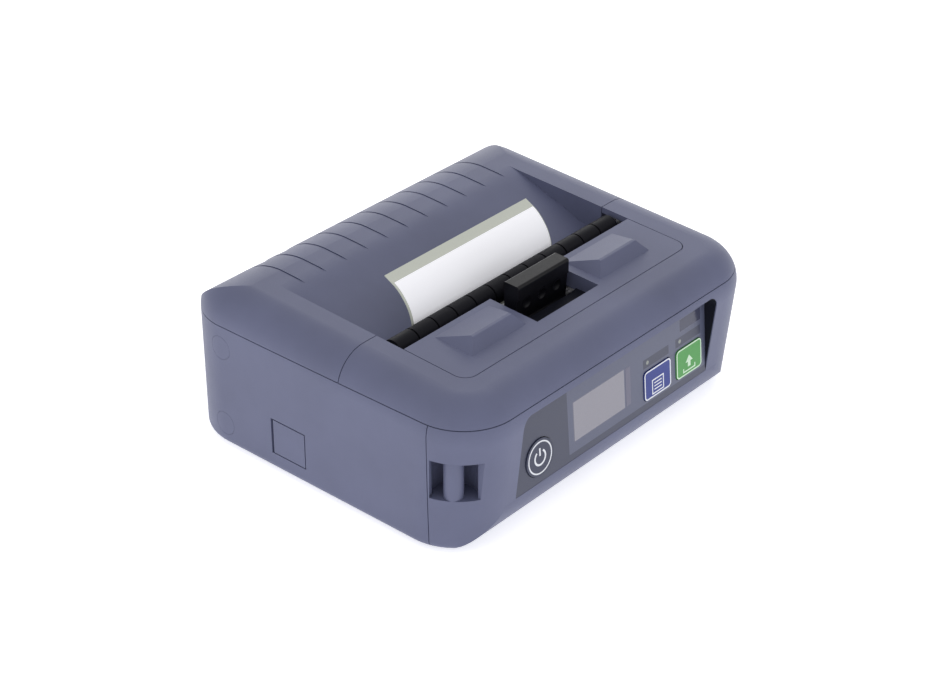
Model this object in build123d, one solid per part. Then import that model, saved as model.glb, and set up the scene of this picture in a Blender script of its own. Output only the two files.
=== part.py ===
# Portable label printer: a clamshell office machine about the size of a thick paperback.
# Frame: millimetres, +Z up, the panel faces -Y, origin on the table under the middle of the case.
# Casings are thin shells split along seams; the paper lid swings on two rear hinge pins and
# carries the rubber platen roller, which a motor under the front cover turns through gears.

import os
from math import atan, atan2, cos, degrees, pi, radians, sin, sqrt, tan

from build123d import *

# Case outline
CASE_W = 150.0
CASE_D = 129.4
WALL = 2.2
SEAM = 0.3
SEAM_Z = 46.6
FRONT_LEAN = 6.0
FRONT_CORNER_R = 20.0
REAR_CORNER_R = 21.0
TOP_EDGE_R = 12.0
BOTTOM_EDGE_R = 3.0
FRONT_FOOT_R = 13.0
REAR_TOP_R = 25.0
TOP_Z = 56.0
TOP_SLOPE = 0.045
FAR = CASE_W
REAR_Y = CASE_D / 2
FRONT_Y = -CASE_D / 2
CASE_H = 62.0
CASE_Z0 = 0.8

# Seams and openings of the top
LID_Y = -9.3
CASING_SPLIT_Y = -46.1
BAY_X = CASE_W / 2 - 18.0
PLATE_BACK_Y = -20.9
PLATE_FRONT_Y = -46.7
PLATE_CORNER_R = 5.0
PLATE_T = 2.0
LEDGE = 3.0

# Scoop in the paper lid: height of its floor along Y
SCOOP_START_Y = 33.0
SCOOP_POINTS = ((22.5, 55.3), (11.4, 51.6), (0.4, 47.6))
SCOOP_FRONT_Z = 43.4
LID_T = 2.0
RIB_PITCH = 10.0
RIB_COUNT = 11
RIB_W = 0.7
RIB_DEPTH = 0.4
RIB_FRONT_Y = 29.0

# Rear hinge
HINGE_Z = 44.8
KNUCKLE_R = 3.0
HINGE_PIN_R = 1.25
RELIEF_R = 4.0
KNUCKLE_IN = 30.0
KNUCKLE_W = 8.0
KNUCKLE_GAP = 0.3
BARREL_X = CASE_W / 2 - 5.5

# Control panel
PANEL_X = CASE_W / 2 - 24.8
PANEL_Z0 = 14.0
PANEL_Z1 = 44.0
PANEL_LEAN = 5.0
PANEL_FRONT_Y = -61.3
OVERLAY_T = 1.0
PANEL_BACK_T = 2.0
PANEL_CORNER_R = 4.0

# Panel layout: u to the right, v up the slope and n outwards, from the middle of its lower edge
POWER_U = -PANEL_X + 12.2
POWER_V = 9.2
POWER_R = 6.6
DISPLAY_BOX = (-20.6, 5.8, 6.2, 20.6)
PRINT_BOX = (PANEL_X - 34.3, PANEL_X - 19.9, 3.6, 14.4)
FEED_BOX = (PANEL_X - 16.7, PANEL_X - 2.8, 3.6, 14.4)
IR_BOX = (PANEL_X - 14.0, PANEL_X - 2.6, 20.9, 25.3)
LED_V = 17.4
CHARGE_U = PANEL_X - 31.9
STATUS_U = PANEL_X - 14.2
LED_R = 0.7
KEY_R = 1.6
KEY_GAP = 0.2
KEY_PROUD = 0.4
KEY_TRAVEL = 0.5
KEY_DEPTH = 4.0
SWITCH_T = 1.0
STEM_GAP = 0.3
STEM_R = 1.6
BOARD_N = -9.0
BOARD_T = 1.6
BACK_N = -(OVERLAY_T + PANEL_BACK_T)

# Strap recesses in the front corners
STRAP_Z0 = 20.6
STRAP_Z1 = 34.8
STRAP_POST_R = 3.2
STRAP_POST_X = CASE_W / 2 - 6.4
STRAP_POST_Y = -51.8
STRAP_SIDE_Y = -47.4
STRAP_FRONT_X = CASE_W / 2 - 10.3
STRAP_WELL_R = 7.6
STRAP_WALL = 1.5

# Platen, gears and exit roller
PLATEN_Y = -3.2
PLATEN_Z = 37.5
PLATEN_R = 5.5
PLATEN_L = 2 * BAY_X - 2.0
SHAFT_R = 2.0
BUSH_R = 3.6
RUN_FIT = 0.05
MODULE = 0.6
PLATEN_TEETH = 18
IDLER_TEETH = 26
PINION_TEETH = 12
GEAR_W = 4.0
GEAR_X = -BAY_X - 8.6
EXIT_Y = -14.4
EXIT_Z = 51.2
EXIT_R = 4.0
EXIT_SHAFT_R = 1.5
SLEEVE_COUNT = 12
SLEEVE_PITCH = (2 * BAY_X - 3.6) / SLEEVE_COUNT
SLEEVE_L = SLEEVE_PITCH - 0.6
ARM_X = BAY_X + 1.5
ARM_T = 3.0
CHEEK_X = BAY_X + 1.0
CHEEK_T = 2.0

# Latch lever
LEVER_W = 25.6
LEVER_BACK_Y = -24.0
LEVER_FRONT_Y = -30.3
LEVER_TOP_Z = 62.0
LEVER_LIP_Z = 56.6
LEVER_AXIS_Y = -27.0
LEVER_AXIS_Z = 46.0
LEVER_SHAFT_R = 1.5
POCKET_X = 15.6
POCKET_FRONT_Y = -40.6
POCKET_DEPTH = 5.5

# Roll bay and media
ROLL_Y = 33.0
ROLL_Z = 22.5
ROLL_R = 17.0
CORE_R = 7.5
CORE_BORE_R = 6.3
ROLL_X = -5.8
ROLL_W = 70.0
PAPER_T = 0.3
GUIDE_T = 2.4
GUIDE_GAP = 0.4
GUIDE_SHOE = 6.0
RAIL_HALF = CASE_W / 2 - WALL - 13.0
GUIDE_TRAVEL = RAIL_HALF - ROLL_W / 2 - GUIDE_GAP - GUIDE_T - GUIDE_SHOE
GUIDE_R = 14.0
GUIDE_HOLE_R = 2.6
GUIDE_HOLES_AT = 9.8

# Side door, plugs, feet, battery
DOOR_Y0 = 6.0
DOOR_Y1 = 21.5
DOOR_Z0 = 7.4
DOOR_Z1 = 20.8
DOOR_GAP = 0.4
DOOR_T = 2.2
PLUG_R = 4.2
PLUG_Y = 43.5
PLUG_ZS = (9.3, 38.5)
FOOT_R = 5.0
FOOT_T = 1.2
FOOT_X = 50.0
FOOT_YS = (-38.0, 50.0)
BATTERY_W = 70.0
BATTERY_D = 38.0
BATTERY_H = 9.0

# Bosses, screws, battery, boards
BOARD_POST_X = 46.0
BOARD_POST_YS = (-43.0, -28.0)
BOARD_POST_R = 2.6
BOARD_Z = 13.4
SCREW_X = CASE_W / 2 - 8.5
SCREW_SPOTS = ((-SCREW_X, -20.0), (SCREW_X, -20.0), (-40.0, 52.0), (40.0, 52.0))
SCREW_BOSS_R = 3.6
SCREW_HEAD_R = 2.6
SCREW_R = 1.25
BATTERY_Y = -14.0
DOOR_PIN_R = 0.6
PLUG_T = 1.0

# Grips on the latch plate
HUMP_X = 32.0
HUMP_W = 27.0
HUMP_FRONT_Y = -39.3
HUMP_BACK_Y = -21.8
HUMP_HIP = 4.2
HUMP_H = 4.0
POCKET_BACK_Y = -31.4

# Print mechanism
BACKLASH = 0.06
IDLER_PIN_R = 1.5
MOTOR_SHAFT_R = 1.0
MOTOR_R = 8.0
MOTOR_L = 20.0
WEB_Y0 = -33.0
WEB_Y1 = -31.4
EAR_X = 16.6
HEAD_X = BAY_X - 3.0
HEAD_GAP = 0.45
HEAD_Z0 = 31.2
HEAD_Z1 = 43.0
WEB_SLOT_Y = -9.75
CURL_Z = 50.0
CURL = ((WEB_SLOT_Y, CURL_Z), (-9.3, 54.2), (-7.3, 58.8), (-3.4, 63.2), (1.9, 66.2))


def box(x0, x1, y0, y1, z0, z1):
    """Axis-parallel block between two corners."""
    return Pos((x0 + x1) / 2, (y0 + y1) / 2, (z0 + z1) / 2) * Box(abs(x1 - x0), abs(y1 - y0), abs(z1 - z0))


def rod_x(x0, x1, y, z, r):
    """Round bar along X."""
    return Pos((x0 + x1) / 2, y, z) * Rot(0, 90, 0) * Cylinder(r, abs(x1 - x0))


def rod_z(x, y, z0, z1, r):
    """Round bar along Z."""
    return Pos(x, y, (z0 + z1) / 2) * Cylinder(r, abs(z1 - z0))


def slab_x(points, x0, x1):
    """Outline in the YZ plane, extruded along X."""
    face = make_face(Polyline(*[(x0, y, z) for y, z in points], close=True))
    return extrude(face, amount=x1 - x0, dir=(1, 0, 0))


def front_y(z):
    """Y of the leaning front face at height z."""
    return FRONT_Y - (z - SEAM_Z) * tan(radians(FRONT_LEAN))


def top_z(y):
    """Height of the gently sloping top."""
    return TOP_Z + (y - LID_Y) * TOP_SLOPE


def above_top(depth):
    """Everything higher than the top surface less depth."""
    back = top_z(-FAR) - depth
    front = top_z(FAR) - depth
    return slab_x([(-FAR, back), (FAR, front), (FAR, 3 * FAR), (-FAR, 3 * FAR)], -FAR, FAR)


def body(inset):
    """Whole case as one solid, shrunk by inset on every side."""
    x = CASE_W / 2 - inset
    z0 = CASE_Z0 + inset
    height = CASE_H - z0
    lean = radians(FRONT_LEAN)
    y0 = front_y(z0) + inset
    front = Pos(0, (y0 + FAR) / 2) * Rectangle(2 * x, FAR - y0)
    front = fillet(front.vertices().sort_by(Axis.Y)[:2], FRONT_CORNER_R - inset)
    prism = extrude(Pos(0, 0, z0) * front, amount=height / cos(lean), dir=(0, -sin(lean), cos(lean)))
    y1 = REAR_Y - inset
    rear = Pos(0, (y1 - FAR) / 2) * Rectangle(2 * x, y1 + FAR)
    rear = fillet(rear.vertices().sort_by(Axis.Y)[-2:], REAR_CORNER_R - inset)
    prism = prism & extrude(Pos(0, 0, z0) * rear, amount=height)
    prism = prism - above_top(inset)
    top_face = prism.faces().sort_by(Axis.Z)[-1]
    prism = fillet(top_face.edges(), TOP_EDGE_R - inset)
    if inset < BOTTOM_EDGE_R / 2:
        bottom_face = prism.faces().sort_by(Axis.Z)[0]
        prism = fillet(bottom_face.edges(), BOTTOM_EDGE_R - inset)
    return prism & side_profile(inset)


def side_profile(inset):
    """Side view of the case: large roundings at the rear top and the front foot."""
    r_rear = REAR_TOP_R - inset
    r_foot = FRONT_FOOT_R - inset
    rear = REAR_Y - inset
    top = top_z(REAR_Y - REAR_TOP_R) - inset
    foot = front_y(FRONT_FOOT_R) + inset
    far = front_y(CASE_H) - CASE_H
    rear_c = (rear - r_rear, top - r_rear)
    floor = CASE_Z0 + inset
    foot_c = (foot + r_foot, floor + r_foot)
    line = Polyline((0, foot_c[0], floor), (0, rear, floor), (0, rear, rear_c[1]))
    arc1 = ThreePointArc(
        (0, rear, rear_c[1]),
        (0, rear_c[0] + r_rear * cos(pi / 4), rear_c[1] + r_rear * sin(pi / 4)),
        (0, rear_c[0], top),
    )
    line2 = Polyline((0, rear_c[0], top), (0, rear_c[0], CASE_H), (0, far, CASE_H), (0, far, foot_c[1]))
    line3 = Line((0, far, foot_c[1]), (0, foot, foot_c[1]))
    arc2 = ThreePointArc(
        (0, foot, foot_c[1]),
        (0, foot_c[0] - r_foot * cos(pi / 4), foot_c[1] - r_foot * sin(pi / 4)),
        (0, foot_c[0], floor),
    )
    face = make_face([line, arc1, line2, line3, arc2])
    return Pos(-CASE_W, 0, 0) * extrude(face, amount=2 * CASE_W, dir=(1, 0, 0))


def hinge_y():
    """Y of the lid hinge, set so that its knuckles lie flush with the rounded rear."""
    centre_z = top_z(REAR_Y - REAR_TOP_R) - REAR_TOP_R
    reach = REAR_TOP_R - KNUCKLE_R
    return REAR_Y - REAR_TOP_R + sqrt(reach ** 2 - (HINGE_Z - centre_z) ** 2)


HINGE_Y = hinge_y()
OUTER = body(0)
INNER = body(WALL)
INNER_CLEAR = body(WALL + 0.4)
SHELL = OUTER - INNER
PANEL = Pos(0, PANEL_FRONT_Y, PANEL_Z0) * Rot(90 - PANEL_LEAN, 0, 0)
PANEL_V = (PANEL_Z1 - PANEL_Z0) / cos(radians(PANEL_LEAN))
DOOR_AXIS_X = -CASE_W / 2 + DOOR_T / 2
DOOR_AXIS_Y = DOOR_Y1 - DOOR_T / 2 - 0.35
MESH_D1 = MODULE * (PLATEN_TEETH + IDLER_TEETH) / 2
MESH_D2 = MODULE * (IDLER_TEETH + PINION_TEETH) / 2
LIFT_R = sqrt((PLATEN_Y - HINGE_Y) ** 2 + (PLATEN_Z - HINGE_Z) ** 2)
IDLER_Y = PLATEN_Y + MESH_D1 * (HINGE_Z - PLATEN_Z) / LIFT_R
IDLER_Z = PLATEN_Z - MESH_D1 * (HINGE_Y - PLATEN_Y) / LIFT_R
PINION_Y = IDLER_Y - MESH_D2 * cos(radians(13))
PINION_Z = IDLER_Z - MESH_D2 * sin(radians(13))
HEAD_Y = PLATEN_Y - PLATEN_R - HEAD_GAP
FLOOR_Z = CASE_Z0 + WALL
RAIL_TOP = FLOOR_Z + 1.6
PORT_X = -CASE_W / 2 + WALL + 7.6
PORT_Y = (DOOR_Y0 + DOOR_Y1) / 2 + 1.6


def rounded(w, d, h, r):
    """Block with rounded vertical edges, standing on its XY plane and centred on it."""
    return extrude(RectangleRounded(w, d, r), amount=h)


def panel_block(u0, u1, v0, v1, n0, n1, r=0.0):
    """Block in the panel's own frame: u to the right, v up the slope, n outwards."""
    mid = Pos((u0 + u1) / 2, (v0 + v1) / 2, n0)
    if r > 0:
        return PANEL * mid * rounded(u1 - u0, v1 - v0, n1 - n0, r)
    return PANEL * mid * Pos(0, 0, (n1 - n0) / 2) * Box(u1 - u0, v1 - v0, n1 - n0)


def panel_disc(u, v, n0, n1, r):
    """Disc in the panel's own frame."""
    return PANEL * Pos(u, v, (n0 + n1) / 2) * Cylinder(r, n1 - n0)


def grow(b, g):
    """The same panel rectangle, larger by g on every side."""
    return (b[0] - g, b[1] + g, b[2] - g, b[3] + g)


def middle(b):
    """Centre of a panel rectangle."""
    return (b[0] + b[1]) / 2, (b[2] + b[3]) / 2


def strap_posts():
    """Upright post in each strap recess."""
    z0 = STRAP_Z0 - 1
    z1 = STRAP_Z1 + 1
    return [rod_z(s * STRAP_POST_X, STRAP_POST_Y, z0, z1, STRAP_POST_R) for s in (-1, 1)]


def strap_pocket(side, grow_by):
    """Space of one strap recess: its corner mouth and a round well about the post."""
    z0 = STRAP_Z0 - grow_by
    z1 = STRAP_Z1 + grow_by
    x_in = STRAP_FRONT_X - grow_by
    mouth = box(side * x_in, side * FAR, -FAR, STRAP_SIDE_Y + grow_by, z0, z1)
    well = rod_z(side * STRAP_POST_X, STRAP_POST_Y, z0, z1, STRAP_WELL_R + grow_by)
    return mouth + well


def base_casing():
    """Bottom shell: floor, side and rear walls, bosses, bay walls and hinge knuckles."""
    keep = box(-FAR, FAR, CASING_SPLIT_Y, FAR, -1, SEAM_Z)
    part = SHELL & keep
    relief = rod_x(-BARREL_X - 0.7, BARREL_X + 0.7, HINGE_Y, HINGE_Z, RELIEF_R)
    part = part - relief
    for side in (-1, 1):
        for x in (KNUCKLE_IN, KNUCKLE_IN + 2 * (KNUCKLE_W + KNUCKLE_GAP)):
            barrel = rod_x(side * x, side * (x + KNUCKLE_W), HINGE_Y, HINGE_Z, KNUCKLE_R)
            web = box(side * x, side * (x + KNUCKLE_W), HINGE_Y + 0.6, HINGE_Y + 3.6,
                      HINGE_Z - RELIEF_R - 2, HINGE_Z - 1)
            part = part + barrel + (web & OUTER)
    part = part - hinge_pin_bore(0.0)
    floor_z = CASE_Z0 + WALL
    for x in (-BOARD_POST_X, BOARD_POST_X):
        for y in BOARD_POST_YS:
            part = part + rod_z(x, y, CASE_Z0 + 0.2, BOARD_Z, BOARD_POST_R)
    for x in (-FOOT_X, FOOT_X):
        for y in FOOT_YS:
            part = part + rod_z(x, y, CASE_Z0, floor_z + 1.2, FOOT_R + 1.5)
            part = part - rod_z(x, y, -1, CASE_Z0 + FOOT_T, FOOT_R + SEAM / 2)
    for x, y in SCREW_SPOTS:
        part = part + rod_z(x, y, CASE_Z0, floor_z + 4, SCREW_BOSS_R)
        part = part - rod_z(x, y, -1, CASE_Z0 + 2.0, SCREW_HEAD_R + SEAM / 2)
        part = part - rod_z(x, y, 0, floor_z + 5, SCREW_R)
    part = part - battery_opening(0.0, -1, floor_z + 0.5)
    part = part - box(-FAR, -CASE_W / 2 + WALL + 0.1, DOOR_Y0, DOOR_Y1, DOOR_Z0, DOOR_Z1)
    part = part - rod_z(DOOR_AXIS_X, DOOR_AXIS_Y, DOOR_Z0 - 1.6, DOOR_Z1 + 1.6, DOOR_PIN_R)
    for plug in plug_discs(SEAM / 4):
        part = part - plug
    return part


def hinge_pin_bore(gap):
    """Both short hinge pins, grown by a running gap."""
    x0 = KNUCKLE_IN + 1
    x1 = KNUCKLE_IN + 3 * KNUCKLE_W - 1
    r = HINGE_PIN_R + gap
    return rod_x(-x1, -x0, HINGE_Y, HINGE_Z, r) + rod_x(x0, x1, HINGE_Y, HINGE_Z, r)


def battery_opening(shrink, z0, z1):
    """Rounded hatch in the floor for the battery."""
    w = BATTERY_W + 4 - 2 * shrink
    d = BATTERY_D + 4 - 2 * shrink
    return Pos(0, BATTERY_Y, z0) * rounded(w, d, z1 - z0, 3 - shrink)


def battery_cover():
    """Hatch cover in the floor, with finger grooves."""
    cover = battery_opening(SEAM, CASE_Z0, CASE_Z0 + WALL)
    for k in range(5):
        groove = box(-9, 9, BATTERY_Y + 10 + 1.6 * k, BATTERY_Y + 10.8 + 1.6 * k, 0, CASE_Z0 + 0.4)
        cover = cover - groove
    return cover


def battery_pack():
    """Flat cell pack lying on the hatch cover."""
    z0 = CASE_Z0 + WALL
    return Pos(0, BATTERY_Y, z0) * rounded(BATTERY_W, BATTERY_D, BATTERY_H, 2.5)


def plug_discs(gap):
    """Round screw plugs, two on each side wall."""
    discs = []
    for side in (-1, 1):
        for z in PLUG_ZS:
            x0 = side * (CASE_W / 2 - PLUG_T - gap)
            disc = rod_x(x0, side * CASE_W / 2 + side, PLUG_Y, z, PLUG_R + gap)
            discs.append(disc & OUTER)
    return discs


def front_casing():
    """Front shell round both corners, with the panel recess and the strap recesses."""
    keep = box(-FAR, FAR, -FAR, CASING_SPLIT_Y - SEAM, -1, SEAM_Z)
    part = SHELL & keep
    pan = panel_block(-PANEL_X - 2, PANEL_X + 2, -2, PANEL_V + 2, BACK_N, 9)
    part = part + (pan & OUTER & box(-FAR, FAR, -FAR, CASING_SPLIT_Y, -1, SEAM_Z))
    for side in (-1, 1):
        walls = strap_pocket(side, STRAP_WALL)
        behind = box(-FAR, FAR, CASING_SPLIT_Y - SEAM, 0, -1, FAR)
        part = part + ((walls & OUTER) - behind) + (walls & INNER_CLEAR & behind)
        part = part - strap_pocket(side, 0)
    for post in strap_posts():
        part = part + post
    part = part - panel_block(-PANEL_X, PANEL_X, 0, PANEL_V, -OVERLAY_T, 14, PANEL_CORNER_R)
    part = part - panel_block(-PANEL_X, PANEL_X, 0, PANEL_V / 2, -OVERLAY_T, 14)
    part = part - panel_disc(POWER_U, POWER_V, BACK_N - 1, 1, POWER_R + KEY_GAP)
    part = part - panel_block(*grow(PRINT_BOX, KEY_GAP), BACK_N - 1, 1, KEY_R)
    part = part - panel_block(*grow(FEED_BOX, KEY_GAP), BACK_N - 1, 1, KEY_R)
    part = part - panel_block(*grow(DISPLAY_BOX, -0.5), BACK_N - 1, 1)
    part = part - panel_block(*grow(IR_BOX, -0.5), BACK_N - 1, 1)
    for u in (CHARGE_U, STATUS_U):
        part = part - panel_disc(u, LED_V, BACK_N - 1, 1, LED_R + 0.1)
    return part


def panel_overlay():
    """Printed film on the recess floor, with windows for keys, display and lamps."""
    g = SEAM / 2
    film = panel_block(-PANEL_X + g, PANEL_X - g, g, PANEL_V - g, -OVERLAY_T, 0, PANEL_CORNER_R - g)
    low = panel_block(-PANEL_X + g, PANEL_X - g, g, PANEL_V / 2, -OVERLAY_T, 0)
    film = film + low
    film = film - panel_disc(POWER_U, POWER_V, -3, 1, POWER_R + KEY_GAP)
    film = film - panel_block(*grow(PRINT_BOX, KEY_GAP), -3, 1, KEY_R)
    film = film - panel_block(*grow(FEED_BOX, KEY_GAP), -3, 1, KEY_R)
    film = film - panel_block(*DISPLAY_BOX, -3, 1)
    film = film - panel_block(*IR_BOX, -3, 1)
    for u in (CHARGE_U, STATUS_U):
        film = film - panel_disc(u, LED_V, -3, 1, LED_R)
    return film & OUTER


def key_stem(u, v):
    """Stem behind a key, ending just short of its pressed switch."""
    return panel_disc(u, v, BOARD_N + BOARD_T + SWITCH_T + KEY_TRAVEL + STEM_GAP, -KEY_DEPTH, STEM_R)


def power_button():
    """Round key with its stem."""
    return panel_disc(POWER_U, POWER_V, -KEY_DEPTH, KEY_PROUD, POWER_R) + key_stem(POWER_U, POWER_V)


def square_button(b):
    """Rectangular key with rounded corners and its stem."""
    return panel_block(*b, -KEY_DEPTH, KEY_PROUD, KEY_R) + key_stem(*middle(b))


def display_window():
    """Clear window over the display, flush with the overlay."""
    return panel_block(*DISPLAY_BOX, -OVERLAY_T, 0)


def lcd_module():
    """Display glass on its frame, between the window and the key board."""
    return panel_block(*grow(DISPLAY_BOX, 1.5), BOARD_N + BOARD_T, BACK_N)


def ir_window():
    """Dark window of the infrared port."""
    return panel_block(*IR_BOX, -OVERLAY_T, 0)


def led(u):
    """Light pipe from the key board to the face of the overlay."""
    return panel_disc(u, LED_V, BOARD_N + BOARD_T, 0, LED_R)


def key_board():
    """Circuit board behind the panel, with a dome switch under each key."""
    board = panel_block(-PANEL_X + 3, PANEL_X - 3, 0.5, PANEL_V - 2, BOARD_N, BOARD_N + BOARD_T)
    top = BOARD_N + BOARD_T
    for u, v in ((POWER_U, POWER_V), middle(PRINT_BOX), middle(FEED_BOX)):
        board = board + panel_block(u - 3, u + 3, v - 3, v + 3, top, top + SWITCH_T)
    for u in (-PANEL_X + 4.5, PANEL_X - 4.5):
        board = board + panel_disc(u, PANEL_V - 5, top, BACK_N, 1.5)
    return board


def top_cover():
    """Upper front shell: the frame round the latch plate, with its inner ledge."""
    keep = box(-FAR, FAR, -FAR, LID_Y - SEAM, SEAM_Z + SEAM, FAR)
    part = SHELL & keep
    ledge = box(-BAY_X - 2, BAY_X + 2, PLATE_FRONT_Y - 2, PLATE_BACK_Y, SEAM_Z + 2, FAR)
    thick = OUTER - body(PLATE_T + 1.8)
    part = part + (thick & ledge)
    opening = Pos(0, (PLATE_FRONT_Y + LID_Y + 10) / 2, 0) * rounded(
        2 * BAY_X, LID_Y + 10 - PLATE_FRONT_Y, FAR, PLATE_CORNER_R)
    part = part - (opening & above_top(PLATE_T))
    inner = box(-BAY_X + LEDGE, BAY_X - LEDGE, PLATE_FRONT_Y + LEDGE, LID_Y, SEAM_Z, FAR)
    part = part - inner
    return part - box(-BAY_X, BAY_X, PLATE_BACK_Y, LID_Y, SEAM_Z, FAR)


def hump(x):
    """Raised hip-roof grip on the latch plate."""
    y_mid = (HUMP_FRONT_Y + HUMP_BACK_Y) / 2
    depth = HUMP_BACK_Y - HUMP_FRONT_Y
    base = Rectangle(HUMP_W, depth)
    ridge_y = HUMP_FRONT_Y + HUMP_HIP - y_mid
    ridge = Pos(0, ridge_y, HUMP_H) * Rectangle(HUMP_W - 2 * HUMP_HIP, 1.2)
    solid = loft([Pos(0, 0, -0.5) * base, ridge], ruled=True)
    solid = fillet(solid.edges().filter_by(lambda e: e.center().Z > HUMP_H - 0.01), 0.4)
    return Pos(x, y_mid, top_z(y_mid)) * Rot(degrees(atan(TOP_SLOPE)), 0, 0) * solid


def latch_plate():
    """Inset plate with two grips and the finger pocket in front of the latch."""
    g = SEAM
    y0 = PLATE_FRONT_Y + g
    y1 = PLATE_BACK_Y
    long = y1 + 10 - y0
    plate = Pos(0, y0 + long / 2, SEAM_Z) * rounded(2 * (BAY_X - g), long, 20, PLATE_CORNER_R - g)
    plate = plate & box(-FAR, FAR, -FAR, y1, 0, FAR) & OUTER & above_top(PLATE_T - 0.05)
    pocket_z = top_z(POCKET_FRONT_Y) - POCKET_DEPTH
    tub_x = POCKET_X + 1.5
    tub = box(-tub_x, tub_x, POCKET_FRONT_Y - 1.5, POCKET_BACK_Y, pocket_z - 1.5, FAR)
    for side in (-1, 1):
        tub = tub + box(side * POCKET_X, side * (POCKET_X + 1.5), POCKET_BACK_Y, y1, LEVER_AXIS_Z + 3.2, FAR)
    plate = plate + (tub & (OUTER - above_top(0.3)))
    for x in (-HUMP_X, HUMP_X):
        plate = plate + hump(x)
    plate = plate - box(-POCKET_X, POCKET_X, POCKET_FRONT_Y, y1 + 1, pocket_z, FAR)
    return plate


def scoop(grow_by):
    """Space of the hollow in the lid where labels curl back."""
    half = BAY_X + grow_by
    start = (0, SCOOP_START_Y, top_z(SCOOP_START_Y) - grow_by)
    front = LID_Y - 1
    middle_points = [(0, y, z - grow_by) for y, z in SCOOP_POINTS]
    end = (0, front, SCOOP_FRONT_Z - grow_by)
    floor = Spline(start, *middle_points, end, tangents=[(0, -1, -TOP_SLOPE), (0, -1, -0.42)])
    sky = Polyline(end, (0, front, FAR), (0, SCOOP_START_Y, FAR), start)
    return Pos(-half, 0, 0) * extrude(make_face([floor, sky]), amount=2 * half, dir=(1, 0, 0))


def paper_lid():
    """Rear lid: rounded shell with the scoop, rib grooves, hinge knuckles and platen arms."""
    over = box(-FAR, FAR, LID_Y, FAR, SEAM_Z + SEAM, FAR)
    hollow = scoop(0)
    tray = (scoop(LID_T) - hollow) & OUTER & box(-FAR, FAR, LID_Y, FAR, 0, FAR)
    part = ((SHELL & over) - scoop(0)) + tray
    end_wall = (OUTER & box(-FAR, FAR, LID_Y, LID_Y + 1.6, SEAM_Z + SEAM, FAR)) - scoop(0)
    part = part + end_wall
    barrel = rod_x(-BARREL_X, BARREL_X, HINGE_Y, HINGE_Z, KNUCKLE_R)
    web = box(-BARREL_X, BARREL_X, HINGE_Y - 0.6, HINGE_Y + 3, HINGE_Z, HINGE_Z + 5)
    part = part + ((barrel + web) & OUTER)
    for side in (-1, 1):
        for x in (KNUCKLE_IN, KNUCKLE_IN + 2 * (KNUCKLE_W + KNUCKLE_GAP)):
            x1 = x + KNUCKLE_W + KNUCKLE_GAP
            part = part - rod_x(side * (x - KNUCKLE_GAP), side * x1, HINGE_Y, HINGE_Z, KNUCKLE_R + 0.4)
        part = part + platen_arm(side)
    skin = OUTER - body(RIB_DEPTH)
    for k in range(RIB_COUNT):
        x = (k - (RIB_COUNT - 1) / 2) * RIB_PITCH
        strip = box(x - RIB_W / 2, x + RIB_W / 2, RIB_FRONT_Y, FAR, SEAM_Z + 3, FAR)
        part = part - (skin & strip)
    return part - hinge_pin_bore(RUN_FIT)


def platen_arm(side):
    """Cheek under the lid that holds one platen bush."""
    x0 = side * ARM_X
    x1 = side * (ARM_X + ARM_T)
    eye = rod_x(x0, x1, PLATEN_Y, PLATEN_Z, BUSH_R + 1.6)
    y0 = PLATEN_Y - BUSH_R - 1.6
    leg = box(x0, x1, y0, PLATEN_Y + 10, PLATEN_Z, SEAM_Z + 4)
    return (eye + leg) - rod_x(side * 50, side * 70, PLATEN_Y, PLATEN_Z, BUSH_R)


def tube_x(x0, x1, y, z, r_out, r_in):
    return rod_x(x0, x1, y, z, r_out) - rod_x(x0 - 1, x1 + 1, y, z, r_in)


def platen_bushes():
    """Plain bearing in each platen arm."""
    bushes = []
    for side in (-1, 1):
        lo, hi = sorted((side * ARM_X, side * (ARM_X + ARM_T)))
        bushes.append(tube_x(lo, hi, PLATEN_Y, PLATEN_Z, BUSH_R, SHAFT_R + RUN_FIT))
    return bushes


def gear(teeth, y, z, x_mid, bore, phase):
    """Involute spur gear on an X axis; phase turns the first tooth from +Y towards +Z."""
    pitch_r = MODULE * teeth / 2
    base_r = pitch_r * cos(radians(20))
    out_r = pitch_r + MODULE
    root_r = pitch_r - 1.25 * MODULE
    half = pi / (2 * teeth) - BACKLASH / pitch_r
    inv = tan(radians(20)) - radians(20)

    def flank(r):
        """Half angle of a tooth at radius r."""
        if r <= base_r:
            return half + inv
        a = sqrt((r / base_r) ** 2 - 1)
        return half + inv - (a - atan(a))

    radii = [root_r, base_r + 0.02, (base_r + out_r) / 2, out_r]
    points = []
    for k in range(teeth):
        mid = phase + 2 * pi * k / teeth
        points += [(r * cos(mid - flank(r)), r * sin(mid - flank(r))) for r in radii]
        points += [(r * cos(mid + flank(r)), r * sin(mid + flank(r))) for r in reversed(radii)]
    x0 = x_mid - GEAR_W / 2
    face = make_face(Polyline(*[(x0, y + a, z + b) for a, b in points], close=True))
    wheel = extrude(face, amount=GEAR_W, dir=(1, 0, 0))
    return wheel - rod_x(x0 - 1, x0 + GEAR_W + 1, y, z, bore)


def mesh_angle(from_y, from_z, to_y, to_z):
    return atan2(to_z - from_z, to_y - from_y)


def platen_gear():
    """Gear on the platen shaft, one tooth pointing at the idler."""
    to_idler = mesh_angle(PLATEN_Y, PLATEN_Z, IDLER_Y, IDLER_Z)
    return gear(PLATEN_TEETH, PLATEN_Y, PLATEN_Z, GEAR_X, SHAFT_R, to_idler)


def idler_gear():
    """Idler with a gap turned to the platen gear."""
    to_platen = mesh_angle(IDLER_Y, IDLER_Z, PLATEN_Y, PLATEN_Z)
    phase = to_platen + pi / IDLER_TEETH
    return gear(IDLER_TEETH, IDLER_Y, IDLER_Z, GEAR_X, IDLER_PIN_R + RUN_FIT, phase)


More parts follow.
